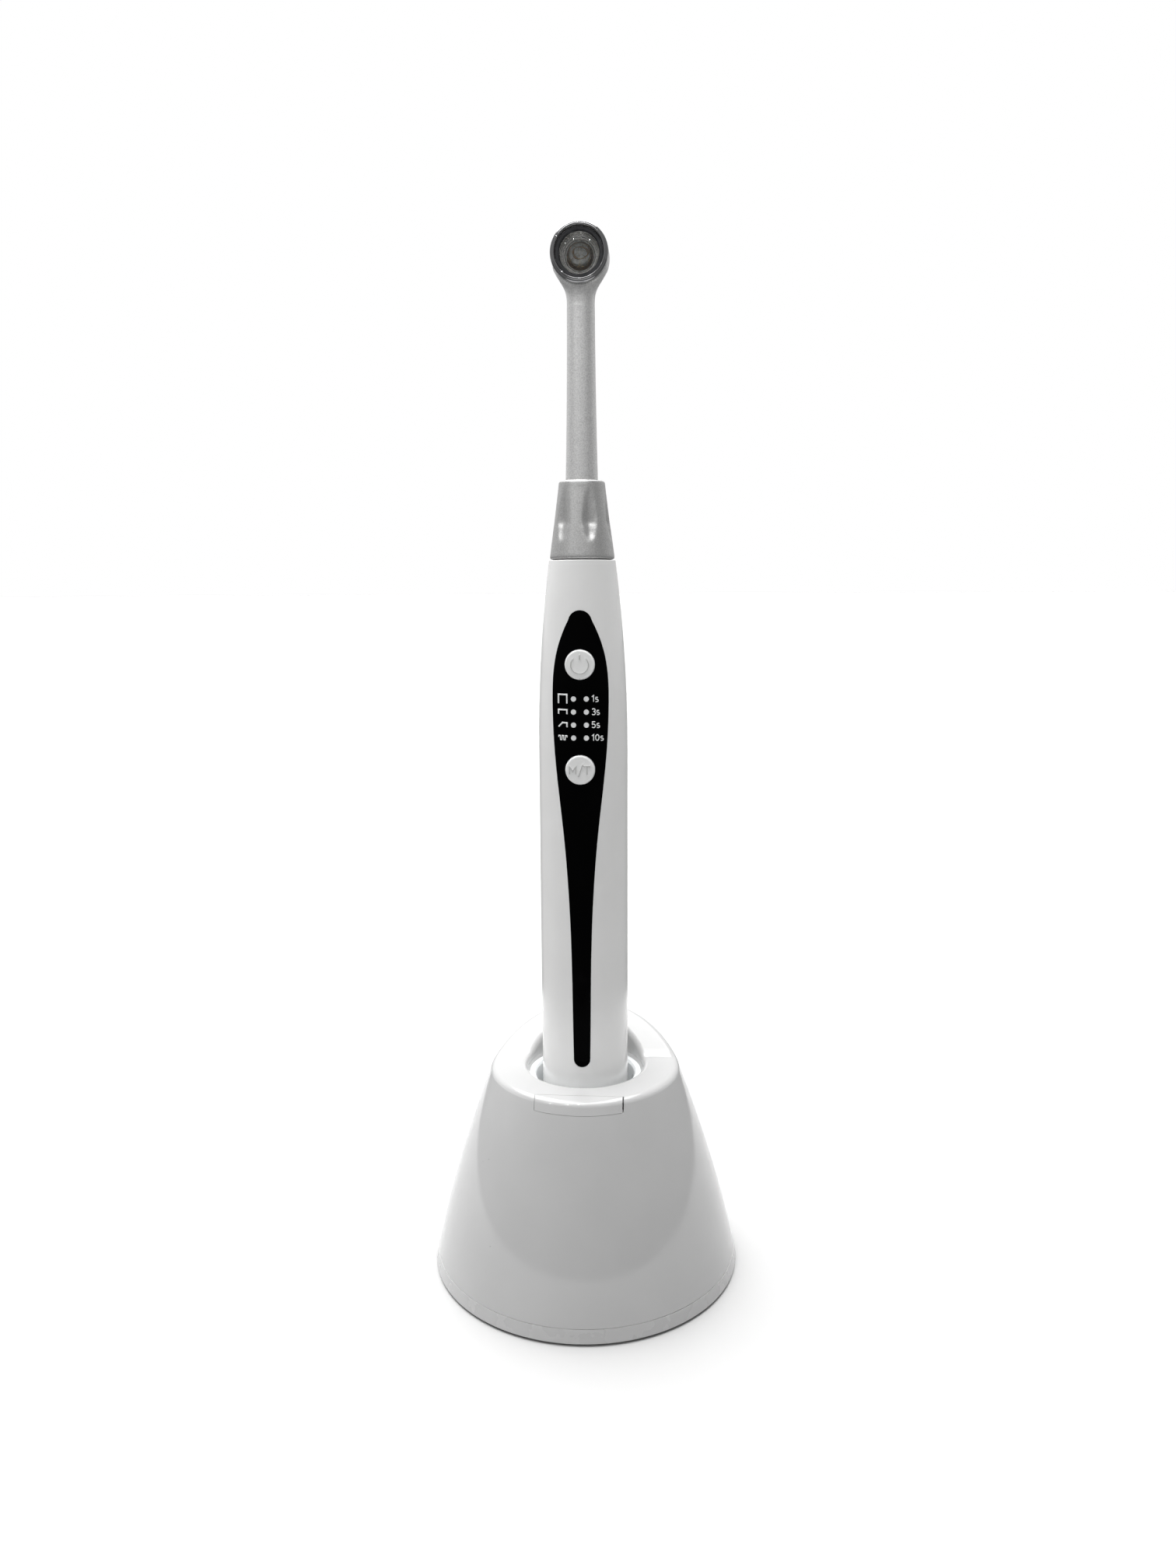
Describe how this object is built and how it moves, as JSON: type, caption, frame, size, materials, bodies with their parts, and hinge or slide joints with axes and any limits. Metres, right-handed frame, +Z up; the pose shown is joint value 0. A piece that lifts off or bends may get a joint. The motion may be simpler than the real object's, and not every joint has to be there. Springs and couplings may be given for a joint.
{
  "type": "dental curing light",
  "caption": "Pen-shaped cordless dental curing light standing in a conical charging base, with a round swivelling light head on a slim metal neck, press buttons and sprung contacts.",
  "frame": {"origin": "on the table under the middle of the round base", "axes": "+Z up along the handpiece, -Y the front that the lens, panel and buttons face"},
  "size_m": [0.095, 0.095, 0.3066],
  "materials": {
    "base_plastic": "glossy moulded",
    "plate_plastic": "satin moulded",
    "cup_plastic": "fine satin",
    "foot_rubber": "matte",
    "seal_rubber": "satin",
    "screw_steel": "zinc plated",
    "ballast_iron": "painted",
    "board_laminate": "solder mask",
    "chip_resin": "moulded resin",
    "gold_contact": "gold plated",
    "spring_steel": "bright wire",
    "inlet_plastic": "moulded",
    "wire_sleeve": "smooth",
    "handle_plastic": "glossy moulded",
    "panel_black": "deep gloss",
    "window_clear": "diffuse clear",
    "button_plastic": "satin gloss",
    "cell_wrap": "shrink wrap",
    "carrier_plastic": "moulded",
    "bush_plastic": "low friction",
    "satin_aluminium": "fine bead blast",
    "bezel_chrome": "polished",
    "lens_glass": "polished",
    "reflector_metal": "satin polished",
    "led_ceramic": "ceramic with phosphor dies"
  },
  "bodies": {
    "charging_base": {"base_shell": "base_plastic", "front_snap_tab": "base_plastic", "well_cup": "cup_plastic", "base_plate": "plate_plastic", "rubber_feet": "foot_rubber", "base_screws": "screw_steel", "cup_screws": "screw_steel", "ballast_ring": "ballast_iron", "charge_board": "board_laminate", "board_screws": "screw_steel", "contact_barrels": "gold_contact", "centre_pin_spring": "spring_steel", "outer_pin_spring": "spring_steel", "power_inlet": "inlet_plastic", "inlet_pin": "gold_contact", "inlet_wires": "wire_sleeve"},
    "centre_charge_pin": {"centre_charge_pin": "gold_contact"},
    "outer_charge_pin": {"outer_charge_pin": "gold_contact"},
    "handpiece": {"handle_shell": "handle_plastic", "panel_overlay": "panel_black", "indicator_windows": "window_clear", "main_board": "board_laminate", "switch_bodies": "chip_resin", "indicator_leds": "led_ceramic", "control_chip": "chip_resin", "buzzer": "chip_resin", "board_carrier": "carrier_plastic", "battery_cell": "cell_wrap", "cell_top_contact": "gold_contact", "cell_spring": "spring_steel", "end_cap": "handle_plastic", "contact_centre": "gold_contact", "contact_ring": "gold_contact", "contact_board": "board_laminate", "cap_seal": "seal_rubber", "swivel_bush": "bush_plastic", "head_socket": "inlet_plastic", "socket_contacts": "gold_contact"},
    "power_button": {"power_button": "button_plastic", "power_plunger": "chip_resin"},
    "mode_button": {"mode_button": "button_plastic", "mode_plunger": "chip_resin"},
    "light_head": {"head_collar": "satin_aluminium", "swivel_o_ring": "seal_rubber", "retaining_clip": "spring_steel", "head_plug": "gold_contact", "neck_housing": "satin_aluminium", "lens_bezel": "bezel_chrome", "lens_seal": "seal_rubber", "lens": "lens_glass", "collimator": "lens_glass", "reflector": "reflector_metal", "led_board": "satin_aluminium", "led_emitter": "led_ceramic", "led_wires": "wire_sleeve"}
  },
  "joints": [
    {"name": "handpiece_lift", "type": "slide", "parent": "charging_base", "child": "handpiece", "axis": [0, 0, 1], "range_m": [0, 0.06]},
    {"name": "head_swivel", "type": "hinge", "parent": "handpiece", "child": "light_head", "pos_m": [0, 0, 0.217], "axis": [0, 0, 1], "continuous": true},
    {"name": "power_button_press", "type": "slide", "parent": "handpiece", "child": "power_button", "axis": [0, 1, 0], "range_m": [0, 0.0005], "stiffness_N_per_m": 900, "springref_m": -0.0006},
    {"name": "mode_button_press", "type": "slide", "parent": "handpiece", "child": "mode_button", "axis": [0, 1, 0], "range_m": [0, 0.0005], "stiffness_N_per_m": 900, "springref_m": -0.0006},
    {"name": "centre_pin_press", "type": "slide", "parent": "charging_base", "child": "centre_charge_pin", "axis": [0, 0, -1], "range_m": [0, 0.001], "stiffness_N_per_m": 300, "springref_m": -0.0008, "deforming": ["centre_pin_spring"]},
    {"name": "outer_pin_press", "type": "slide", "parent": "charging_base", "child": "outer_charge_pin", "axis": [0, 0, -1], "range_m": [0, 0.001], "stiffness_N_per_m": 300, "springref_m": -0.0008, "deforming": ["outer_pin_spring"]}
  ]
}
